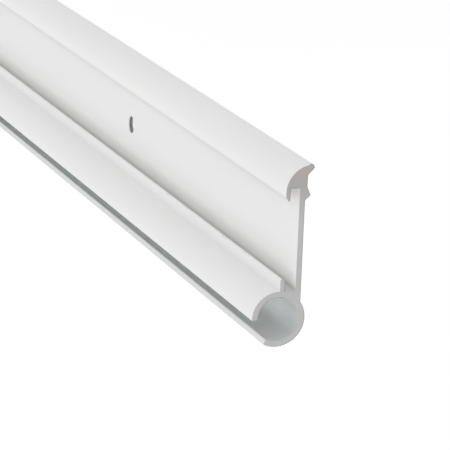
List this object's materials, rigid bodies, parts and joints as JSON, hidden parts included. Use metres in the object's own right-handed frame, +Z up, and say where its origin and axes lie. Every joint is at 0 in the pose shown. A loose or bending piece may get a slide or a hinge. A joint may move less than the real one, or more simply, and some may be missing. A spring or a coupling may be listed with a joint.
{
  "type": "door sweep",
  "caption": "Painted aluminium door sweep rail with a hood and a slotted round track, a flap seal that slides in the track and a cover strip that slides over the screw holes.",
  "frame": {"origin": "on the back face of the rail's web, halfway along the rail and level with its screw holes", "axes": "+X along the rail, towards the open end that the strips slide home to; +Y out of the back face, into the door; +Z up, from the round track to the hood"},
  "size_m": [1.1844, 0.0171, 0.0624],
  "materials": {
    "white_powder_coat": "satin white powder coat, bare aluminium at the sawn ends and inside the track",
    "grey_vinyl": "matt grey flexible vinyl",
    "white_vinyl": "satin white semi-rigid vinyl"
  },
  "bodies": {
    "rail": {"carrier_rail": "white_powder_coat"},
    "seal": {"door_seal": "grey_vinyl"},
    "cover": {"cover_strip": "white_vinyl"}
  },
  "joints": [
    {"name": "seal_slide", "type": "slide", "parent": "rail", "child": "seal", "axis": [1, 0, 0], "range_m": [0, 0.27]},
    {"name": "cover_slide", "type": "slide", "parent": "rail", "child": "cover", "axis": [1, 0, 0], "range_m": [0, 0.27]}
  ]
}
